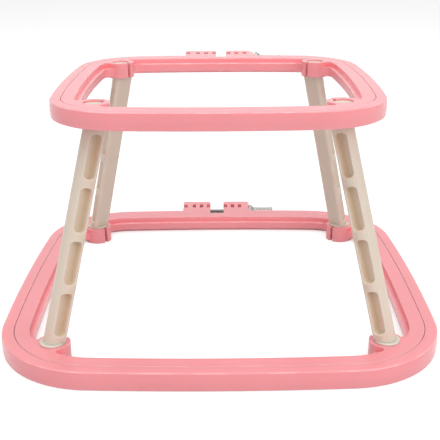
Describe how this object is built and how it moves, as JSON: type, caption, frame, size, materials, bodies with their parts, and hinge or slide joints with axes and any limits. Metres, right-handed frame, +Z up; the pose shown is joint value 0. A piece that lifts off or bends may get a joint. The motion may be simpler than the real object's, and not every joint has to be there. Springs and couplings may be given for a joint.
{
  "type": "embroidery hoop stand",
  "caption": "Free-standing embroidery stand: a small square hoop held over a large one by leaning plug-in legs, each hoop with a split outer ring and a thumb screw clamp.",
  "frame": {"origin": "the middle of the part's box on the table: X half way across the lower hoop, Y half way between the lower hoop's front and its clamp's lugs, Z at the underside of the lower hoop", "axes": "+X to the right towards the thumb screws' heads, +Y to the back where both clamps are, +Z up from the table"},
  "size_m": [0.3, 0.3244, 0.1656],
  "materials": {
    "pink_plastic": "satin",
    "cream_plastic": "satin",
    "steel": "plated"
  },
  "bodies": {
    "lower_hoop": {"lower_inner_ring": "pink_plastic"},
    "legs": {"leg_front_left": "cream_plastic", "leg_front_right": "cream_plastic", "leg_rear_left": "cream_plastic", "leg_rear_right": "cream_plastic"},
    "upper_hoop": {"upper_inner_ring": "pink_plastic"},
    "lower_outer": {"lower_outer_ring": "pink_plastic", "lower_clamp_nut": "steel"},
    "upper_outer": {"upper_outer_ring": "pink_plastic", "upper_clamp_nut": "steel"},
    "lower_screw": {"lower_clamp_screw": "steel"},
    "upper_screw": {"upper_clamp_screw": "steel"}
  },
  "joints": [
    {"name": "legs_lift", "type": "slide", "parent": "lower_hoop", "child": "legs", "axis": [0, 0, 1], "range_m": [0, 0.014]},
    {"name": "upper_hoop_lift", "type": "slide", "parent": "legs", "child": "upper_hoop", "axis": [0, 0, 1], "range_m": [0, 0.012]},
    {"name": "lower_outer_lift", "type": "slide", "parent": "lower_hoop", "child": "lower_outer", "axis": [0, 0, 1], "range_m": [0, 0.025]},
    {"name": "upper_outer_lift", "type": "slide", "parent": "upper_hoop", "child": "upper_outer", "axis": [0, 0, 1], "range_m": [0, 0.025]},
    {"name": "lower_screw_turn", "type": "hinge", "parent": "lower_outer", "child": "lower_screw", "pos_m": [0.0296, 0.15, 0.0074], "axis": [1, 0, 0], "continuous": true},
    {"name": "upper_screw_turn", "type": "hinge", "parent": "upper_outer", "child": "upper_screw", "pos_m": [0.0322, 0.111, 0.1594], "axis": [1, 0, 0], "continuous": true}
  ]
}
